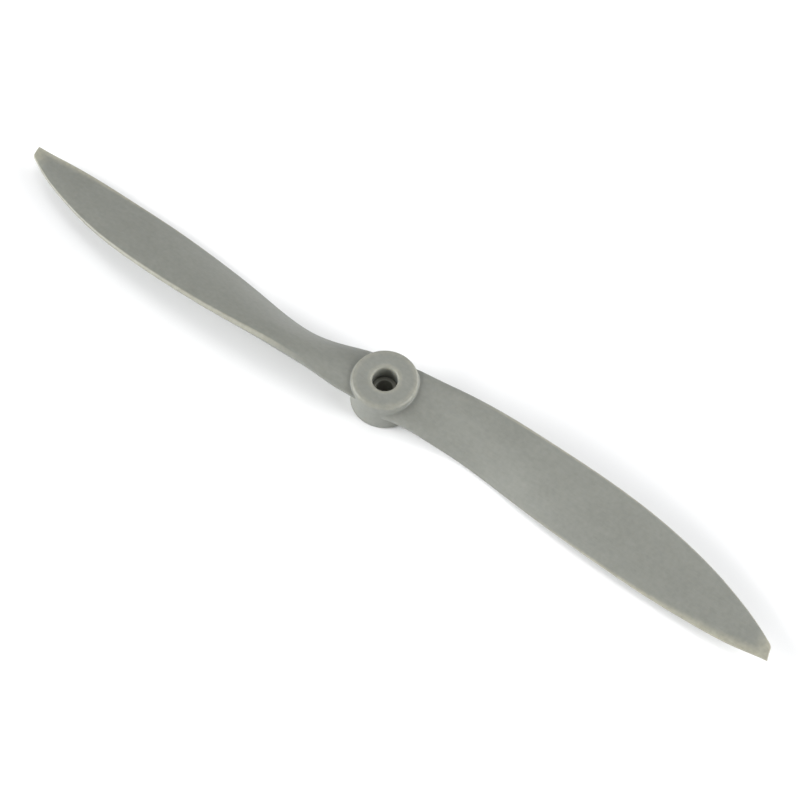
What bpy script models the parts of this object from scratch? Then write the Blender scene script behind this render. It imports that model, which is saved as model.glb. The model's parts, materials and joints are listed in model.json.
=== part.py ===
"""Two-blade model-aircraft propeller with a push-in reducer bush in its hub.

Run with:  blender --background --python part.py

The propeller lies on the rear face of its hub. Z runs along the motor shaft, from the rear face
(z = 0) to the front face, and X runs from tip to tip through the shaft axis. Seen from the front
the propeller turns anticlockwise, so the blade on the +X side leads with its +Y edge.
"""

import math

import bmesh
import bpy
import numpy as np

MM = 0.001
INCH = 0.0254

# Driving dimensions
DIAMETER = 9.0 * INCH
PITCH = 6.35 * INCH
HUB_REAR_DIAMETER = 16.9 * MM
HUB_FRONT_DIAMETER = 16.7 * MM  # the hub tapers a little, so that it leaves its mould
HUB_THICKNESS = 10.0 * MM
BORE_DIAMETER = 0.25 * INCH
SHAFT_DIAMETER = 4.0 * MM  # the smaller motor shaft that the bush adapts the bore to
BUSH_LENGTH = 5.5 * MM

# Hub details
FRONT_RIM_RADIUS = 0.9 * MM
REAR_RIM_RADIUS = 0.4 * MM
FRONT_BORE_CHAMFER = 0.7 * MM
REAR_BORE_CHAMFER = 0.3 * MM
CUT_MARGIN = 1.0 * MM  # how far the bore's cutter runs past each face

# Bush details
BUSH_RECESS = 0.2 * MM  # from the rear face, so that the hub alone meets the motor
BUSH_CLEARANCE = 0.2 * MM  # radial, to the bore
BUSH_CHAMFER = 0.3 * MM

# Blade stations, from inside the hub to the tip: span as a share of the tip radius, then the
# leading edge's y, the trailing edge's y and z and the thickness in millimetres, and the blade
# angle in degrees, where None is the helix angle of PITCH.
STATIONS = (
    (-0.01, 7.1, -8.6, 5.4, 3.5, 5.0),
    (0.04, 8.05, -7.1, 5.25, 3.7, 10.0),
    (0.08, 8.55, -5.85, 4.75, 4.1, 14.0),
    (0.14, 8.9, -4.3, 2.55, 4.4, 29.0),
    (0.20, 9.35, -3.3, 0.95, 4.4, 38.0),
    (0.28, 10.1, -3.25, 0.45, 3.8, 38.0),
    (0.38, 10.95, -4.15, 1.05, 3.3, None),
    (0.50, 11.55, -4.9, 1.6, 2.9, None),
    (0.62, 11.45, -5.15, 1.9, 2.5, None),
    (0.74, 10.25, -4.9, 1.9, 2.1, None),
    (0.84, 7.95, -4.3, 2.35, 1.7, None),
    (0.92, 5.2, -3.35, 2.8, 1.4, None),
    (0.97, 3.05, -2.4, 3.45, 1.1, None),
    (1.00, 1.5, -1.9, 3.9, 0.9, None),
)
CAMBER = 0.035  # of the chord, outside the root
CREST = 0.36  # where the front is thickest, as a share of the chord
NOSE_THICKNESS = 1.45 * MM  # of the blunt leading edge
NOSE_LENGTH = 0.3 * MM  # along the chord, from the leading edge to its shoulder on the front
EDGE_AT_ROOT = 0.9 * MM  # thickness of the trailing edge
EDGE_AT_TIP = 0.5 * MM
TIP_SKEW = 1.0 * MM  # the cut at the tip is oblique, with its leading corner this much further in

# Facets
HUB_STEPS = 72
BORE_STEPS = 48
ARC_STEPS = 4
CHORD_STEPS = 14
SPAN_STEPS = 40
SPAN_CROWDING = 0.6  # 0 spaces the sections evenly, 1 crowds them at the root and the tip


def clear_scene():
    for item in list(bpy.data.objects):
        bpy.data.objects.remove(item)


def new_collection(name):
    collection = bpy.data.collections.new(name)
    bpy.context.scene.collection.children.link(collection)
    return collection


def plastic(name, colour, roughness):
    material = bpy.data.materials.new(name)
    material.use_nodes = True
    shader = material.node_tree.nodes["Principled BSDF"]
    shader.inputs["Base Color"].default_value = (*colour, 1.0)
    shader.inputs["Roughness"].default_value = roughness
    shader.inputs["Metallic"].default_value = 0.0
    return material


def mesh_object(name, mesh, collection):
    part = bpy.data.objects.new(name, mesh)
    collection.objects.link(part)
    return part


def make_tool(part):
    """Marks a shape that only serves to build another one."""
    part.hide_render = True
    part.display_type = "WIRE"
    return part


def rounded_corner(centre_radius, centre_z, size, start_deg, end_deg):
    angles = np.radians(np.linspace(start_deg, end_deg, ARC_STEPS + 1))
    return [(centre_radius + size * math.cos(a), centre_z + size * math.sin(a)) for a in angles]


def turned(name, profile, steps, collection, is_ring=False):
    """A solid of revolution about Z. The profile is (radius, z) points down its outer side."""
    edges = [(i, i + 1) for i in range(len(profile) - 1)]
    if is_ring:
        edges.append((len(profile) - 1, 0))
    mesh = bpy.data.meshes.new(name)
    mesh.from_pydata([(radius, 0.0, z) for radius, z in profile], edges, [])
    part = mesh_object(name, mesh, collection)
    screw = part.modifiers.new("Turn", "SCREW")
    screw.axis = "Z"
    screw.steps = steps
    screw.render_steps = steps
    screw.use_merge_vertices = True
    screw.merge_threshold = 0.00001
    screw.use_smooth_shade = False
    return part


def natural_spline(knots, values):
    """The smooth curve through the stations' values, as a function of span."""
    x, y = np.array(knots), np.array(values)
    gaps, slopes = np.diff(x), np.diff(y) / np.diff(x)
    system, right = np.eye(len(x)), np.zeros(len(x))
    for i in range(1, len(x) - 1):
        system[i, i - 1 : i + 2] = gaps[i - 1], 2 * (gaps[i - 1] + gaps[i]), gaps[i]
        right[i] = 6 * (slopes[i] - slopes[i - 1])
    bends = np.linalg.solve(system, right)

    def value(at):
        i = min(max(int(np.searchsorted(x, at)) - 1, 0), len(gaps) - 1)
        gap, before, after = gaps[i], at - x[i], x[i + 1] - at
        curved = (bends[i] * after**3 + bends[i + 1] * before**3) / (6 * gap)
        start = (y[i] / gap - bends[i] * gap / 6) * after
        end = (y[i + 1] / gap - bends[i + 1] * gap / 6) * before
        return curved + start + end

    return value


def blade_angle(span, leading_y, trailing_y):
    """The helix angle of PITCH at a section's distance from the shaft axis, in degrees."""
    radius = math.hypot(span * DIAMETER / 2, (leading_y + trailing_y) / 2 * MM)
    return math.degrees(math.atan(PITCH / (2 * math.pi * radius)))


def station_curves():
    """Curves over the span of leading y, trailing y, trailing z, thickness and blade angle."""
    rows = []
    for span, leading_y, trailing_y, trailing_z, thickness, angle in STATIONS:
        if angle is None:
            angle = blade_angle(span, leading_y, trailing_y)
        rows.append((span, leading_y, trailing_y, trailing_z, thickness, angle))
    spans, *columns = zip(*rows)
    return [natural_spline(spans, column) for column in columns]


def ease(start, end, value):
    share = min(max((value - start) / (end - start), 0.0), 1.0)
    return share * share * (3 - 2 * share)


def aerofoil(c):
    """Half thickness of the classic four-digit aerofoil at chord share c, for a thickness of 1."""
    return 1.4845 * math.sqrt(c) - 0.63 * c - 1.758 * c**2 + 1.4215 * c**3 - 0.518 * c**4


def crowned(c):
    """Rise of the front from the nose's shoulder to the crest, and its fall to the trailing edge."""
    before, after = max(1 - c / CREST, 0.0), max((c - CREST) / (1 - CREST), 0.0)
    return 1 - before**1.7 - after**1.9


def blade_section(span, curves):
    """One closed outline across the blade: over the front to the trailing edge, and back below."""
    leading_y, trailing_y, trailing_z, thickness, angle = (curve(span) for curve in curves)
    width = (leading_y - trailing_y) * MM
    rise = width * math.tan(math.radians(angle))
    chord = math.hypot(width, rise)
    edge = EDGE_AT_ROOT + (EDGE_AT_TIP - EDGE_AT_ROOT) * ease(0.05, 0.4, span)
    oval = 1 - ease(0.06, 0.26, span)  # the root is an oval, which turns into an aerofoil
    camber = CAMBER * chord * ease(0.05, 0.3, span)
    skew = TIP_SKEW * ease(0.9, 1.0, span)

    thickness *= MM
    nose = min(NOSE_THICKNESS, 0.65 * thickness)

    def front_foil(c):
        """Half thickness over the front: a blunt nose with a shoulder, then the crown."""
        inward = 1 - min(c * chord / NOSE_LENGTH, 1.0)
        blunt = nose / 2 * math.sqrt(1 - inward**2) * (1 - c)
        return (blunt + (thickness - nose) / 2 * crowned(c)) / thickness

    def point(c, side):
        foil = front_foil(c) if side > 0 else aerofoil(c)
        foil = (1 - oval) * foil + oval * math.sqrt(c * (1 - c))
        half = foil * thickness + edge / 2 * c
        off = side * half + 4 * camber * c * (1 - c)
        x = span * DIAMETER / 2 - skew * (1 - c)
        y = trailing_y * MM + width * (1 - c) - off * rise / chord
        z = trailing_z * MM + rise * (1 - c) + off * width / chord
        return (x, y, z)

    shares = [(1 - math.cos(math.pi * i / CHORD_STEPS)) / 2 for i in range(CHORD_STEPS + 1)]
    front = [point(c, 1) for c in shares]
    rear = [point(c, -1) for c in reversed(shares[1:])]
    return front + rear


def blade_spans():
    """Section places along the span, closer together at the root and the tip."""
    first, last = STATIONS[0][0], STATIONS[-1][0]
    for i in range(SPAN_STEPS + 1):
        t = i / SPAN_STEPS
        t -= SPAN_CROWDING * math.sin(2 * math.pi * t) / (2 * math.pi)
        yield first + (last - first) * t


def blade_mesh():
    """The blade on the +X side: a loft through its sections, closed at both ends."""
    curves = station_curves()
    shape = bmesh.new()
    rings = [[shape.verts.new(p) for p in blade_section(s, curves)] for s in blade_spans()]
    count = len(rings[0])
    for inner, outer in zip(rings, rings[1:]):
        for i in range(count):
            j = (i + 1) % count
            shape.faces.new((inner[i], outer[i], outer[j], inner[j]))
    shape.faces.new(rings[0])
    shape.faces.new(rings[-1])
    bmesh.ops.recalc_face_normals(shape, faces=shape.faces)
    mesh = bpy.data.meshes.new("blade")
    shape.to_mesh(mesh)
    shape.free()
    return mesh


def hub_profile():
    """The hub's outer side: the front face, the tapered wall and the rear face."""
    front_radius, rear_radius = HUB_FRONT_DIAMETER / 2, HUB_REAR_DIAMETER / 2
    front_z = HUB_THICKNESS - FRONT_RIM_RADIUS
    front = rounded_corner(front_radius - FRONT_RIM_RADIUS, front_z, FRONT_RIM_RADIUS, 90, 0)
    rear = rounded_corner(rear_radius - REAR_RIM_RADIUS, REAR_RIM_RADIUS, REAR_RIM_RADIUS, 0, -90)
    return [(0.0, HUB_THICKNESS), *front, *rear, (0.0, 0.0)]


def bore_profile():
    """The bore with a chamfer at each face, which widens on past the face."""
    radius = BORE_DIAMETER / 2
    top, bottom = HUB_THICKNESS + CUT_MARGIN, -CUT_MARGIN
    return [
        (0.0, top),
        (radius + FRONT_BORE_CHAMFER + CUT_MARGIN, top),
        (radius, HUB_THICKNESS - FRONT_BORE_CHAMFER),
        (radius, REAR_BORE_CHAMFER),
        (radius + REAR_BORE_CHAMFER + CUT_MARGIN, bottom),
        (0.0, bottom),
    ]


def combine(part, tool, operation):
    boolean = part.modifiers.new(tool.name, "BOOLEAN")
    boolean.operation = operation
    boolean.solver = "EXACT"
    boolean.object = tool


def make_propeller(parts, tools):
    """One moulding: hub and blades joined, then bored for the shaft."""
    propeller = turned("propeller", hub_profile(), HUB_STEPS, parts)
    mesh = blade_mesh()
    for number in (1, 2):
        blade = make_tool(mesh_object(f"blade_form_{number}", mesh, tools))
        blade.rotation_euler.z = math.pi * (number - 1)
        combine(propeller, blade, "UNION")
    bore = make_tool(turned("bore_cutter", bore_profile(), BORE_STEPS, tools))
    combine(propeller, bore, "DIFFERENCE")
    propeller.data.materials.append(plastic("grey_glass_filled_nylon", (0.225, 0.235, 0.21), 0.5))
    return propeller


def make_bush(parts):
    """The push-in ring that narrows the bore to the smaller shaft."""
    inner, outer = SHAFT_DIAMETER / 2, BORE_DIAMETER / 2 - BUSH_CLEARANCE
    profile = [
        (inner + BUSH_CHAMFER, BUSH_LENGTH),
        (outer - BUSH_CHAMFER, BUSH_LENGTH),
        (outer, BUSH_LENGTH - BUSH_CHAMFER),
        (outer, BUSH_CHAMFER),
        (outer - BUSH_CHAMFER, 0.0),
        (inner + BUSH_CHAMFER, 0.0),
        (inner, BUSH_CHAMFER),
        (inner, BUSH_LENGTH - BUSH_CHAMFER),
    ]
    bush = turned("reducer_bush", profile, BORE_STEPS, parts, is_ring=True)
    bush.location.z = BUSH_RECESS
    bush.data.materials.append(plastic("grey_nylon_bush", (0.18, 0.19, 0.17), 0.5))
    return bush


def main():
    clear_scene()
    parts = new_collection("model_propeller")
    tools = new_collection("building_tools")
    shaft_axis = bpy.data.objects.new("shaft_axis", None)
    parts.objects.link(shaft_axis)
    for part in (make_propeller(parts, tools), make_bush(parts)):
        part.parent = shaft_axis


main()
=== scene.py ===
"""The looks of a two-blade model-aircraft propeller with a reducer bush in its hub.

The propeller is one moulded skin: a turned hub whose outer wall is cut open where each blade's
root fillet meets it, and two lofted blades. The part lies on the rear face of its hub. Z is the
shaft axis and X runs from tip to tip; sizes of the shape are in millimetres until they are scaled.
"""

import json
import math

import bmesh
import bpy
import numpy as np
from mathutils import Matrix, Vector
from mathutils.geometry import delaunay_2d_cdt


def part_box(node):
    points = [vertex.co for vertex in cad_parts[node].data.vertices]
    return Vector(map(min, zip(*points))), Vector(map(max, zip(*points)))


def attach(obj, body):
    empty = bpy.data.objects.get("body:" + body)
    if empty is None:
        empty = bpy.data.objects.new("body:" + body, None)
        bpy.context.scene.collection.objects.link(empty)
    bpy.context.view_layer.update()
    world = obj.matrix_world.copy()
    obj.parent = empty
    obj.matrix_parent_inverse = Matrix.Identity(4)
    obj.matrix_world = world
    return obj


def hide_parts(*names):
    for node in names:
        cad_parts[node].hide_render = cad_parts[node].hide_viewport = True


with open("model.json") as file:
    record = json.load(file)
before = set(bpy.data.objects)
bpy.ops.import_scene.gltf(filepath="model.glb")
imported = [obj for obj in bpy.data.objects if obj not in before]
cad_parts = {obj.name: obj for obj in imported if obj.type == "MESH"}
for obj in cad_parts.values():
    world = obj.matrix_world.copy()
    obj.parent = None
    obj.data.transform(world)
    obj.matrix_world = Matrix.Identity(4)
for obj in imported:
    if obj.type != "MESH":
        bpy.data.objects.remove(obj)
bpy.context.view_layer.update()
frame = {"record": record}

MM = 0.001

# Places that the frame gives
MOUNTS = {mount["name"]: mount for mount in frame["record"]["mounts"]}
FRONT = MOUNTS["front_face"]["pos_m"][2] / MM
TIP_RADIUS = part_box("propeller")[1].x / MM
BUSH_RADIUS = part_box("reducer_bush")[1].x / MM
BUSH_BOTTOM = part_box("reducer_bush")[0].z / MM
BUSH_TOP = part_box("reducer_bush")[1].z / MM

# Hub
FRONT_RADIUS = 8.35
REAR_RADIUS = 8.45
FRONT_RIM = 0.9
REAR_RIM = 0.4
BUSH_CLEARANCE = 0.2  # between the frame's bush and its bore
BORE_RADIUS = BUSH_RADIUS + BUSH_CLEARANCE
LIP = 0.65
REAR_CHAMFER = 0.3
SHAFT_RADIUS = 2.0
BUSH_ROUND = 0.25
BUSH_GAP = 0.02  # what the eye sees between the bush and the bore

# Blade stations from inside the hub to the tip: span as a share of the tip radius, leading edge's
# y, trailing edge's y and z, thickness, and blade angle in degrees or None for PITCH's helix angle
STATIONS = (
    (-0.01, 7.1, -8.6, 5.4, 3.5, 5.0),
    (0.04, 8.05, -7.1, 5.25, 3.7, 10.0),
    (0.08, 8.55, -5.85, 4.75, 4.1, 14.0),
    (0.14, 8.9, -4.3, 2.55, 4.4, 29.0),
    (0.20, 9.35, -3.3, 0.95, 4.4, 38.0),
    (0.28, 10.1, -3.25, 0.45, 3.8, 38.0),
    (0.38, 10.95, -4.15, 1.05, 3.3, None),
    (0.50, 11.55, -4.9, 1.6, 2.9, None),
    (0.62, 11.45, -5.15, 1.9, 2.5, None),
    (0.74, 10.25, -4.9, 1.9, 2.1, None),
    (0.84, 7.95, -4.3, 2.35, 1.7, None),
    (0.92, 5.2, -3.35, 2.8, 1.4, None),
    (0.97, 3.05, -2.4, 3.45, 1.1, None),
    (1.00, 1.5, -1.9, 3.9, 0.9, None),
)
PITCH = 6.35 * 25.4
CAMBER = 0.035
CREST = 0.36  # where the front is thickest, as a share of the chord
RISE_POWER = 1.7  # of the front's curve before the crest
FALL_POWER = 1.9  # and after it
NOSE = 1.45  # thickness of the blunt leading edge
NOSE_MOST = 0.65  # its most, as a share of the blade's thickness
NOSE_DEPTH = 0.3  # its length along the chord
EDGE_AT_ROOT = 0.9  # thickness of the trailing edge
EDGE_AT_TIP = 0.5
TIP_SKEW = 1.0
TIP_ROUND = 0.35  # rounding of the cut at the tip
CORNER_LENGTH = 1.2  # how far in from the tip the leading corner's rounding starts
CORNER_DEPTH = 0.6
ROOT_FILLET = 0.45
# How much of a rounding's quarter circle is used, so that it never closes to nothing
CORNER_SHARE = 0.96
TIP_SHARE = 0.98

# Spans over which the section changes
OVAL_ENDS = (0.06, 0.26)  # from the root's oval to the aerofoil
EDGE_THINS = (0.05, 0.4)
CAMBER_GROWS = (0.05, 0.3)
SKEW_GROWS = (0.9, 1.0)

# Painted light, from 0 to 1: painted highlights on the hub's rim, the bore's lip and the blades'
# leading edges, and painted light showing through the blades' thin trailing edges and tips
RIM_HIGHLIGHT = 0.3
RIM_HIGHLIGHT_ENDS = (1.2, 0.5)  # below the front face, in rim radii
LIP_HIGHLIGHT = 0.4
NOSE_HIGHLIGHT = 0.7
NOSE_HIGHLIGHT_GROWS = (0.15, 0.3)  # spans
NOSE_HIGHLIGHT_FADES = (0.6, 0.8)  # spans
NOSE_HIGHLIGHT_FADE = 0.4
NOSE_HIGHLIGHT_ENDS = (0.8, 1.3)  # in nose depths from the leading edge
NOSE_HIGHLIGHT_BEHIND = 4  # how many times narrower it is on the blade's back
EDGE_GLOW_GROWS = (0.3, 0.6)  # spans
EDGE_GLOW_ENDS = (3, 0.3)  # in half thicknesses from the trailing edge
EDGE_GLOW_WIDENS = (0.6, 1.0)  # spans
EDGE_GLOW_WIDENING = 3
TIP_GLOW_LENGTH = 6.0

# Fineness of the mesh
RAILS = 96  # points round a blade section
FILLET_ROWS = 10
SPAN_ROWS = 170
BUNCHING = 0.86  # how far the rows gather at the root and the tip
ROOT_SPANS = np.linspace(0.0, 0.16, 400)  # where a blade may meet the hub's wall
HUB_COLUMNS = 240
WALL_STEP = 0.4
WALL_MARGIN = 0.12  # between the wall's own points and the root
ARC_STEPS = 8
FACE_RINGS = 6
BORE_RINGS = 12
REAR_RINGS = 8
BUSH_COLUMNS = 144
BUSH_CORNER_POINTS = 7
MERGE_DISTANCE = 0.0005
SHARP_ANGLE = math.radians(35)

# Colours
NYLON_GREY = (0.194, 0.2, 0.178)
PAINTED_LIGHT_GREY = (0.33, 0.322, 0.256)
BUSH_GREY = (0.3, 0.3, 0.26)
PAPER_WHITE = (0.88, 0.885, 0.89)

# The nylon's tone is this much everywhere, and each noise adds to it. A noise has its fineness per
# metre, its detail, its scale along X where flow draws it out, and its share of the tone.
PLAIN_TONE = 0.65
TONE_NOISES = {
    "flow": (70.0, 2.0, 0.6, 0.16),
    "clouds": (330.0, 3.0, 0.6, 0.16),
    "mottle": (900.0, 2.0, 1.0, 0.24),
    "fibres": (2600.0, 2.0, 0.16, 0.14),
}
GRAIN_SCALE = 5200.0
PAINTED_LIGHT_MOTTLE = (0.25, 0.7, 0.65, 0.95)  # the mottle's low and high, and the painted light's share at each

# The studio, in metres: a white backdrop, little light from it, and five soft boxes with their
# bearing and elevation in degrees and their power in watts
BACKDROP = 0.97
AMBIENT = 0.2
FLOOR_RADIUS = 1.0  # it ends where the light does
LIGHT_DISTANCE = 1.2
LIGHT_SIZE = 0.7
LIGHTS = (
    ("left", 268, 20, 21.0),
    ("far_right", 60, 20, 8.5),
    ("right", 115, 20, 14.5),
    ("near", 180, 20, 3.0),
    ("top", 0, 70, 3.3),
)

# The camera looks down at the hub from the near blade's trailing side; its lens is in millimetres
CAMERA_TURN = math.radians(34.73)
CAMERA_ELEVATION = math.radians(61.2)
CAMERA_ROLL = math.radians(3.04)
CAMERA_DISTANCE = 0.6359
CAMERA_SLIDE = (0.00391, -0.00036)  # to the right and up in the picture
CAMERA_LENS = 115.56


def ease(start, end, value):
    share = np.clip((value - start) / (end - start), 0.0, 1.0)
    return share * share * (3 - 2 * share)


def natural_spline(knots, values):
    """The smooth curve through the stations' values, for an array of spans."""
    x, y = np.array(knots), np.array(values)
    gaps, slopes = np.diff(x), np.diff(y) / np.diff(x)
    system, right = np.eye(len(x)), np.zeros(len(x))
    for i in range(1, len(x) - 1):
        system[i, i - 1 : i + 2] = gaps[i - 1], 2 * (gaps[i - 1] + gaps[i]), gaps[i]
        right[i] = 6 * (slopes[i] - slopes[i - 1])
    bends = np.linalg.solve(system, right)

    def value(at):
        i = np.clip(np.searchsorted(x, at) - 1, 0, len(gaps) - 1)
        gap, before, after = gaps[i], at - x[i], x[i + 1] - at
        curved = (bends[i] * after**3 + bends[i + 1] * before**3) / (6 * gap)
        start = (y[i] / gap - bends[i] * gap / 6) * after
        end = (y[i + 1] / gap - bends[i + 1] * gap / 6) * before
        return curved + start + end

    return value


def station_curves():
    rows = []
    for span, leading_y, trailing_y, trailing_z, thickness, angle in STATIONS:
        if angle is None:
            radius = math.hypot(span * TIP_RADIUS, (leading_y + trailing_y) / 2)
            angle = math.degrees(math.atan(PITCH / (2 * math.pi * radius)))
        rows.append((span, leading_y, trailing_y, trailing_z, thickness, angle))
    spans, *columns = zip(*rows)
    return [natural_spline(spans, column) for column in columns]


CURVES = station_curves()


def foil_shape(c):
    """Half thickness of the classic four-digit aerofoil at chord share c, for a thickness of 1."""
    return 1.4845 * np.sqrt(c) - 0.63 * c - 1.758 * c**2 + 1.4215 * c**3 - 0.518 * c**4


def crowned(c):
    """The front's rise from the nose's shoulder to its crest and down to the trailing edge."""
    before, after = np.clip(1 - c / CREST, 0, 1), np.clip((c - CREST) / (1 - CREST), 0, 1)
    return 1 - before**RISE_POWER - after**FALL_POWER


def blade_painted_light(span, turn, c, chord, cap):
    """How much painted light the blade has at chord share c: a painted highlight along its leading
    edge, and painted light showing through its thin trailing edge and tip. cap is the chord share
    that the trailing edge's rounding takes."""
    # A painted highlight along the leading edge's nose
    depth = c * chord / NOSE_DEPTH * np.where(turn < 0.5, 1, NOSE_HIGHLIGHT_BEHIND)
    nose = NOSE_HIGHLIGHT * (1 - ease(*NOSE_HIGHLIGHT_ENDS, depth)) * ease(*NOSE_HIGHLIGHT_GROWS, span)
    nose = nose * (1 - NOSE_HIGHLIGHT_FADE * ease(*NOSE_HIGHLIGHT_FADES, span))
    # Painted light showing through the thin trailing edge and the tip
    reach = (1 + EDGE_GLOW_WIDENING * ease(*EDGE_GLOW_WIDENS, span)) * cap
    start, full = (1 - reach * share for share in EDGE_GLOW_ENDS)
    edge = ease(start, full, c) * ease(*EDGE_GLOW_GROWS, span)
    tip = ease(TIP_GLOW_LENGTH, 0.0, (1 - span) * TIP_RADIUS)
    return np.maximum(np.maximum(nose, edge), tip)


def blade_points(span, turn):
    """Points of the blade's skin, and how much painted light each one has. turn goes once round the
    section: 0 and 1 are the leading edge, and 0.5 is the trailing edge, reached over the front."""
    leading_y, trailing_y, trailing_z, thickness, angle = (curve(span) for curve in CURVES)
    from_tip = (1 - span) * TIP_RADIUS
    corner = np.clip(1 - from_tip / CORNER_LENGTH, 0, 1)
    leading_y = leading_y - CORNER_DEPTH * (1 - np.sqrt(1 - CORNER_SHARE * corner**2))
    width = leading_y - trailing_y
    rise = width * np.tan(np.radians(angle))
    chord = np.hypot(width, rise)
    edge = EDGE_AT_ROOT + (EDGE_AT_TIP - EDGE_AT_ROOT) * ease(*EDGE_THINS, span)
    oval = 1 - ease(*OVAL_ENDS, span)
    camber = CAMBER * chord * ease(*CAMBER_GROWS, span)
    skew = TIP_SKEW * ease(*SKEW_GROWS, span)
    c = (1 - np.cos(2 * np.pi * turn)) / 2
    side = np.where(turn < 0.5, 1.0, -1.0)
    nose = np.minimum(NOSE, NOSE_MOST * thickness)
    shoulder = np.clip(c * chord / NOSE_DEPTH, 0, 1)
    blunt = nose / 2 * np.sqrt(1 - (1 - shoulder) ** 2) * (1 - c)
    crisp = (blunt + (thickness - nose) / 2 * crowned(c)) / thickness
    foil = np.where(turn < 0.5, crisp, foil_shape(c))
    foil = (1 - oval) * foil + oval * np.sqrt(np.clip(c * (1 - c), 0, None))
    cap = edge / 2 / chord
    past = np.clip((c - 1 + cap) / cap, 0, 1)
    half = (foil * thickness + edge / 2 * c) * np.sqrt(np.clip(1 - past**2, 0, None))
    closing = np.clip(1 - from_tip / TIP_ROUND, 0, 1)
    half = half * np.sqrt(1 - TIP_SHARE * closing**2)
    off = side * half + 4 * camber * c * (1 - c)
    x = span * TIP_RADIUS - skew * (1 - c)
    y = trailing_y + width * (1 - c) - off * rise / chord
    z = trailing_z + rise * (1 - c) + off * width / chord
    return np.stack([x, y, z], -1), blade_painted_light(span, turn, c, chord, cap)


def blade_normals(span, turn):
    """Outward directions square to the section's outline, in the section's own plane."""
    small = 0.002
    after, _ = blade_points(span, (turn + small) % 1)
    before, _ = blade_points(span, (turn - small) % 1)
    along = after - before
    normal = np.stack([np.zeros_like(span), along[..., 2], -along[..., 1]], -1)
    return normal / np.linalg.norm(normal, axis=-1, keepdims=True)


def hub_outline():
    """(radius, z) down the hub's outer side, from the front face's edge to the rear face's."""
    quarter = np.linspace(0, math.pi / 2, ARC_STEPS + 1)
    rim = [
        (FRONT_RADIUS - FRONT_RIM * (1 - math.sin(a)), FRONT - FRONT_RIM * (1 - math.cos(a)))
        for a in quarter
    ]
    foot = [
        (REAR_RADIUS - REAR_RIM * (1 - math.cos(a)), REAR_RIM * (1 - math.sin(a))) for a in quarter
    ]
    steps = int((rim[-1][1] - foot[0][1]) / WALL_STEP)
    wall = np.linspace(rim[-1], foot[0], steps + 1)[1:-1]
    return np.array([*rim, *wall, *foot])


OUTLINE = hub_outline()
ALONG_OUTLINE = np.concatenate([[0], np.cumsum(np.hypot(*np.diff(OUTLINE, axis=0).T))])


def hub_radius(z):
    return np.interp(z, OUTLINE[::-1, 1], OUTLINE[::-1, 0])


def gap_to_hub(points):
    return np.hypot(points[..., 0], points[..., 1]) - hub_radius(points[..., 2])


def blade_rows():
    """Rows of points from the hub's wall out to the tip, with the fillet at the root, and how much
    painted light each point has."""
    turns = np.arange(RAILS) / RAILS
    grid_span, grid_turn = np.meshgrid(ROOT_SPANS, turns, indexing="ij")
    gaps = gap_to_hub(blade_points(grid_span, grid_turn)[0])
    first = np.array([np.interp(0.0, gaps[:, i], ROOT_SPANS) for i in range(RAILS)])
    normals = blade_normals(first, turns)
    at_hub = blade_points(first, turns)[0]
    outward = at_hub * (1, 1, 0) / np.hypot(at_hub[:, :1], at_hub[:, 1:2])
    reach = ROOT_FILLET * (1 - np.clip((normals * outward).sum(-1), 0, 1))
    rows, painted_lights = [], []
    for v in np.linspace(-1, 1, FILLET_ROWS + 1):
        gap, lift = reach * (1 + v) ** 2 / 4, reach * (1 - v) ** 2 / 4
        span = np.array([np.interp(gap[i], gaps[:, i], ROOT_SPANS) for i in range(RAILS)])
        base, painted_light = blade_points(span, turns)
        points = base + lift[:, None] * blade_normals(span, turns)
        radius = np.hypot(points[:, 0], points[:, 1])
        points[:, :2] *= ((hub_radius(points[:, 2]) + gap) / radius)[:, None]
        rows.append(points)
        painted_lights.append(painted_light)
    for i in range(1, SPAN_ROWS + 1):
        t = i / SPAN_ROWS
        t -= BUNCHING * math.sin(2 * math.pi * t) / (2 * math.pi)
        points, painted_light = blade_points(span + (1 - span) * t, turns)
        rows.append(points)
        painted_lights.append(painted_light)
    return np.array(rows), np.array(painted_lights)


def inside(polygon, points):
    """Which points lie inside a closed polygon."""
    result = np.zeros(len(points), bool)
    for (ax, ay), (bx, by) in zip(polygon, np.roll(polygon, -1, 0)):
        crosses = (ay > points[:, 1]) != (by > points[:, 1])
        slope = (bx - ax) / (by - ay) if by != ay else 0.0
        result ^= crosses & (points[:, 0] < ax + (points[:, 1] - ay) * slope)
    return result


def wall_triangles(loop):
    """Triangles of the hub's outer side, laid flat as (angle, way down the outline), over half a
    turn and round the blade's root loop. Gives the points, the triangles and, for each point, which
    of the points put in it came from; the loop's points are the first of those."""
    angles = np.linspace(-math.pi / 2, math.pi / 2, HUB_COLUMNS // 2 + 1)
    grid = np.array([(a, s) for s in ALONG_OUTLINE for a in angles])
    scale = np.array([FRONT_RADIUS, 1.0])
    near = np.array([np.hypot(*((loop - p) * scale).T).min() for p in grid])
    border = (grid[:, 1] == ALONG_OUTLINE[0]) | (grid[:, 1] == ALONG_OUTLINE[-1])
    keep = border | (~inside(loop, grid) & (near > WALL_MARGIN))
    flat = np.concatenate([loop, grid[keep]]) * scale
    rim = [(i, (i + 1) % len(loop)) for i in range(len(loop))]
    found = delaunay_2d_cdt([Vector(p) for p in flat], rim, [], 0, 1e-7)
    points = np.array([tuple(p) for p in found[0]])
    triangles = np.array(found[2])
    centres = points[triangles].mean(1)
    triangles = triangles[~inside(loop * scale, centres)]
    return points / scale, triangles, found[3]


def add_vert(shape, layer, point, painted_light):
    vert = shape.verts.new(point)
    vert[layer] = painted_light
    return vert


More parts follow.
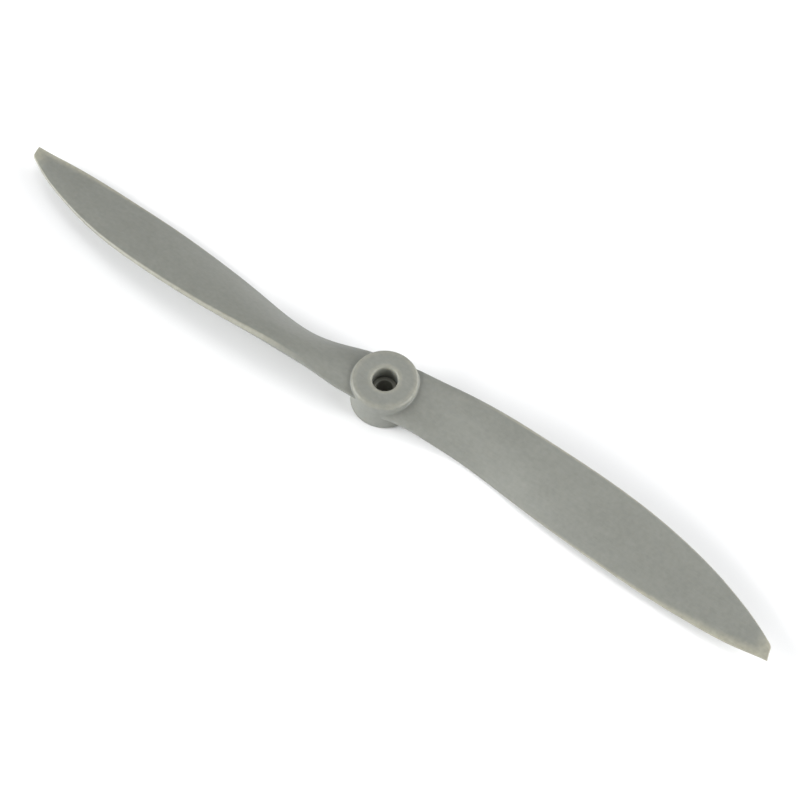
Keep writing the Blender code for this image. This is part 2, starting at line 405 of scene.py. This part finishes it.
def half_skin(shape, layer):
    """The hub's outer side over half a turn, with the blade on the +X side."""
    rows, painted_lights = blade_rows()
    root = rows[0]
    way = np.interp(-root[:, 2], -OUTLINE[:, 1], ALONG_OUTLINE)
    loop = np.stack([np.arctan2(root[:, 1], root[:, 0]), way], -1)
    points, triangles, origins = wall_triangles(loop)
    radius = np.interp(points[:, 1], ALONG_OUTLINE, OUTLINE[:, 0])
    height = np.interp(points[:, 1], ALONG_OUTLINE, OUTLINE[:, 1])
    # A painted highlight on the front rim's rounding, fading out down the wall
    start, full = (FRONT - FRONT_RIM * share for share in RIM_HIGHLIGHT_ENDS)
    rim_highlight = RIM_HIGHLIGHT * ease(start, full, height)
    wall = [
        add_vert(shape, layer, (r * math.cos(a), r * math.sin(a), z), painted_light)
        for r, a, z, painted_light in zip(radius, points[:, 0], height, rim_highlight)
    ]
    for a, b, c in triangles:
        shape.faces.new((wall[a], wall[b], wall[c]))
    place = {source: index for index, sources in enumerate(origins) for source in sources}
    before = [wall[place[i]] for i in range(RAILS)]
    for row, painted_light in zip(rows[1:], painted_lights[1:]):
        verts = [add_vert(shape, layer, point, share) for point, share in zip(row, painted_light)]
        for i in range(RAILS):
            j = (i + 1) % RAILS
            shape.faces.new((before[i], verts[i], verts[j], before[j]))
        before = verts
    shape.faces.new(before)


def add_turned(shape, layer, profile, painted_lights, columns):
    """Rings of faces for a profile of (radius, z) points, with how much painted highlight each ring
    has.
    """
    angles = np.arange(columns) * 2 * math.pi / columns - math.pi / 2
    around = [(math.cos(a), math.sin(a)) for a in angles]
    rings = [
        [add_vert(shape, layer, (radius * x, radius * y, z), painted_light) for x, y in around]
        for (radius, z), painted_light in zip(profile, painted_lights)
    ]
    for upper, lower in zip(rings, rings[1:]):
        for i in range(columns):
            j = (i + 1) % columns
            shape.faces.new((upper[i], upper[j], lower[j], lower[i]))


def finished(shape, name):
    """The mesh, welded, facing outwards and in metres."""
    bmesh.ops.remove_doubles(shape, verts=shape.verts[:], dist=MERGE_DISTANCE)
    bmesh.ops.recalc_face_normals(shape, faces=shape.faces[:])
    bmesh.ops.scale(shape, verts=shape.verts[:], vec=(MM, MM, MM))
    mesh = bpy.data.meshes.new(name)
    shape.to_mesh(mesh)
    shape.free()
    mesh.shade_smooth()
    mesh.set_sharp_from_angle(angle=SHARP_ANGLE)
    return mesh


def propeller_mesh():
    shape = bmesh.new()
    layer = shape.verts.layers.float.new("painted_light")
    half_skin(shape, layer)
    other = bmesh.ops.duplicate(shape, geom=shape.verts[:] + shape.edges[:] + shape.faces[:])
    turned_verts = [item for item in other["geom"] if isinstance(item, bmesh.types.BMVert)]
    bmesh.ops.rotate(shape, verts=turned_verts, matrix=Matrix.Rotation(math.pi, 3, "Z"))
    edge = OUTLINE[0][0]
    lip = [
        (BORE_RADIUS + LIP * (1 - math.sin(a)), FRONT - LIP * (1 - math.cos(a)))
        for a in np.linspace(0, math.pi / 2, ARC_STEPS + 1)
    ]
    face = [(r, FRONT) for r in np.linspace(edge, lip[0][0], FACE_RINGS)[:-1]]
    bore = [(BORE_RADIUS, z) for z in np.linspace(lip[-1][1], REAR_CHAMFER, BORE_RINGS)[1:]]
    chamfered = BORE_RADIUS + REAR_CHAMFER
    rear = [(r, 0.0) for r in np.linspace(chamfered, OUTLINE[-1][0], REAR_RINGS)]
    # The front face's outer ring carries the rim's painted highlight
    face_highlight = [RIM_HIGHLIGHT, *[0.0] * (len(face) - 1)]
    # A painted highlight round the bore's lip
    painted_lights = [*face_highlight, *[LIP_HIGHLIGHT] * len(lip), *[0.0] * (len(bore) + len(rear))]
    add_turned(shape, layer, [*face, *lip, *bore, *rear], painted_lights, HUB_COLUMNS)
    return finished(shape, "propeller_moulding")


def bush_mesh():
    """A turned ring with rounded corners."""
    inner, outer = SHAFT_RADIUS, BORE_RADIUS - BUSH_GAP
    corners = (
        (outer, BUSH_TOP, -1, -1, 90),
        (outer, BUSH_BOTTOM, -1, 1, 0),
        (inner, BUSH_BOTTOM, 1, 1, 270),
        (inner, BUSH_TOP, 1, -1, 180),
    )
    profile = []
    for radius, z, inward, upward, start in corners:
        for angle in np.radians(np.linspace(start, start - 90, BUSH_CORNER_POINTS)):
            profile.append((
                radius + inward * BUSH_ROUND + BUSH_ROUND * math.cos(angle),
                z + upward * BUSH_ROUND + BUSH_ROUND * math.sin(angle),
            ))
    shape = bmesh.new()
    layer = shape.verts.layers.float.new("painted_light")
    ring = [*profile, profile[0]]
    add_turned(shape, layer, ring, [0.0] * len(ring), BUSH_COLUMNS)
    return finished(shape, "reducer_ring")


class Nodes:
    """Short calls to add and join a material's nodes."""

    def __init__(self, name):
        self.material = bpy.data.materials.new(name)
        self.material.use_nodes = True
        self.tree = self.material.node_tree
        self.shader = self.tree.nodes["Principled BSDF"]

    def add(self, kind, settings=None, **inputs):
        node = self.tree.nodes.new(kind)
        for key, value in (settings or {}).items():
            setattr(node, key, value)
        for key, value in inputs.items():
            self.put(node.inputs[key.replace("_", " ")], value)
        return node

    def put(self, socket, value):
        if isinstance(value, bpy.types.NodeSocket):
            self.tree.links.new(value, socket)
        else:
            socket.default_value = value

    def math(self, operation, a, b=0.0, c=0.0):
        node = self.tree.nodes.new("ShaderNodeMath")
        node.operation = operation
        for socket, value in zip(node.inputs, (a, b, c)):
            self.put(socket, value)
        return node.outputs[0]

    def mix(self, factor, a, b, blend="MIX"):
        node = self.tree.nodes.new("ShaderNodeMix")
        node.data_type = "RGBA"
        node.blend_type = blend
        self.put(node.inputs[0], factor)
        self.put(node.inputs[6], a)
        self.put(node.inputs[7], b)
        return node.outputs[2]

    def ramp(self, value, low, high, out_low, out_high):
        node = self.tree.nodes.new("ShaderNodeMapRange")
        for socket, number in zip(node.inputs, (value, low, high, out_low, out_high)):
            self.put(socket, number)
        return node.outputs[0]

    def noise(self, place, scale, detail=2.0, stretch=(1.0, 1.0, 1.0)):
        mapping = self.add("ShaderNodeMapping", Vector=place, Scale=stretch)
        node = self.add("ShaderNodeTexNoise", Vector=mapping.outputs[0], Scale=scale, Detail=detail)
        return node.outputs["Fac"]


def nylon(name, colour, painted_light_colour, roughness):
    """Satin moulded glass-filled nylon: cloudy flow marks, short fibres under the skin, and a
    warmer, lighter colour painted on rims and edges as highlight and as light showing through the
    thin edges."""
    n = Nodes(name)
    place = n.add("ShaderNodeTexCoord").outputs["Object"]
    noises, tone = {}, PLAIN_TONE
    for kind, (scale, detail, along, share) in TONE_NOISES.items():
        noises[kind] = n.noise(place, scale, detail, (along, 1.0, 1.0))
        tone = n.math("MULTIPLY_ADD", noises[kind], share, tone)
    # Painted light: this paler, warmer colour stands in for highlights on the rim, lip and leading
    # edges and for light through the thin edges
    painted_light = n.add("ShaderNodeAttribute", {"attribute_name": "painted_light"}).outputs["Fac"]
    painted_light_share = n.math("MULTIPLY", painted_light, n.ramp(noises["mottle"], *PAINTED_LIGHT_MOTTLE))
    tinted = n.mix(painted_light_share, (*colour, 1.0), (*painted_light_colour, 1.0))
    tones = n.add("ShaderNodeCombineColor", Red=tone, Green=tone, Blue=tone).outputs[0]
    n.put(n.shader.inputs["Base Color"], n.mix(1.0, tinted, tones, "MULTIPLY"))
    rough = n.math("MULTIPLY_ADD", noises["clouds"], 0.10, roughness - 0.05)
    n.put(n.shader.inputs["Roughness"], rough)
    grain = n.math("MULTIPLY", n.noise(place, GRAIN_SCALE), 0.3)
    height = n.math("MULTIPLY_ADD", noises["fibres"], 0.4, grain)
    height = n.math("MULTIPLY_ADD", noises["clouds"], 1.2, height)
    bump = n.add("ShaderNodeBump", Strength=0.25, Distance=0.00006, Height=height)
    n.put(n.shader.inputs["Normal"], bump.outputs[0])
    n.shader.inputs["IOR"].default_value = 1.5
    n.shader.inputs["Subsurface Weight"].default_value = 0.15
    n.shader.inputs["Subsurface Radius"].default_value = (1.0, 0.8, 0.5)
    n.shader.inputs["Subsurface Scale"].default_value = 0.001
    return n.material


def add_piece(name, mesh, material, body, node):
    mesh.materials.append(material)
    piece = bpy.data.objects.new(name, mesh)
    bpy.context.scene.collection.objects.link(piece)
    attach(piece, body)
    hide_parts(node)


def add_floor():
    bpy.ops.mesh.primitive_circle_add(vertices=128, radius=FLOOR_RADIUS, fill_type="NGON")
    floor = bpy.context.object
    floor.name = "floor"
    n = Nodes("pale_paper")
    n.shader.inputs["Base Color"].default_value = (*PAPER_WHITE, 1.0)
    n.shader.inputs["Roughness"].default_value = 0.9
    n.shader.inputs["Specular IOR Level"].default_value = 0.1
    floor.data.materials.append(n.material)


def add_camera():
    data = bpy.data.cameras.new("camera")
    data.lens = CAMERA_LENS
    data.sensor_width = 36.0
    data.clip_start = 0.01
    camera = bpy.data.objects.new("camera", data)
    camera.matrix_world = (
        Matrix.Rotation(CAMERA_TURN, 4, "Z")
        @ Matrix.Rotation(math.pi / 2 - CAMERA_ELEVATION, 4, "X")
        @ Matrix.Rotation(CAMERA_ROLL, 4, "Z")
        @ Matrix.Translation((*CAMERA_SLIDE, CAMERA_DISTANCE))
    )
    bpy.context.scene.collection.objects.link(camera)
    bpy.context.scene.camera = camera


def add_light(name, bearing, elevation, power):
    """A square soft box, aimed at the hub and unseen by the camera. bearing is clockwise from the
    side of the part that lies away from the camera."""
    data = bpy.data.lights.new(name, "AREA")
    data.size = LIGHT_SIZE
    data.energy = power
    light = bpy.data.objects.new(name, data)
    light.visible_camera = False
    around = CAMERA_TURN + math.pi / 2 - math.radians(bearing)
    up = math.radians(elevation)
    light.location = LIGHT_DISTANCE * Vector(
        (math.cos(up) * math.cos(around), math.cos(up) * math.sin(around), math.sin(up))
    )
    light.rotation_euler = (-light.location).to_track_quat("-Z", "Y").to_euler()
    bpy.context.scene.collection.objects.link(light)


def add_studio():
    """The lights, and a world that looks white to the camera and lights the part much less."""
    world = bpy.data.worlds.new("studio")
    world.use_nodes = True
    tree = world.node_tree
    background = tree.nodes["Background"]
    background.inputs["Color"].default_value = (0.99, 0.995, 1.0, 1.0)
    strength = tree.nodes.new("ShaderNodeMapRange")
    strength.inputs["To Min"].default_value = AMBIENT
    strength.inputs["To Max"].default_value = BACKDROP
    rays = tree.nodes.new("ShaderNodeLightPath")
    tree.links.new(rays.outputs["Is Camera Ray"], strength.inputs["Value"])
    tree.links.new(strength.outputs["Result"], background.inputs["Strength"])
    bpy.context.scene.world = world
    for name, bearing, elevation, power in LIGHTS:
        add_light(name, bearing, elevation, power)
    bpy.context.scene.view_settings.view_transform = "Standard"


add_camera()
add_studio()
add_floor()
moulding_nylon = nylon("grey_glass_filled_nylon", NYLON_GREY, PAINTED_LIGHT_GREY, 0.5)
bush_nylon = nylon("grey_nylon_bush", BUSH_GREY, BUSH_GREY, 0.55)
add_piece(
    "propeller_moulding",
    propeller_mesh(),
    moulding_nylon,
    "propeller",
    "propeller",
)
add_piece("reducer_ring", bush_mesh(), bush_nylon, "bush", "reducer_bush")
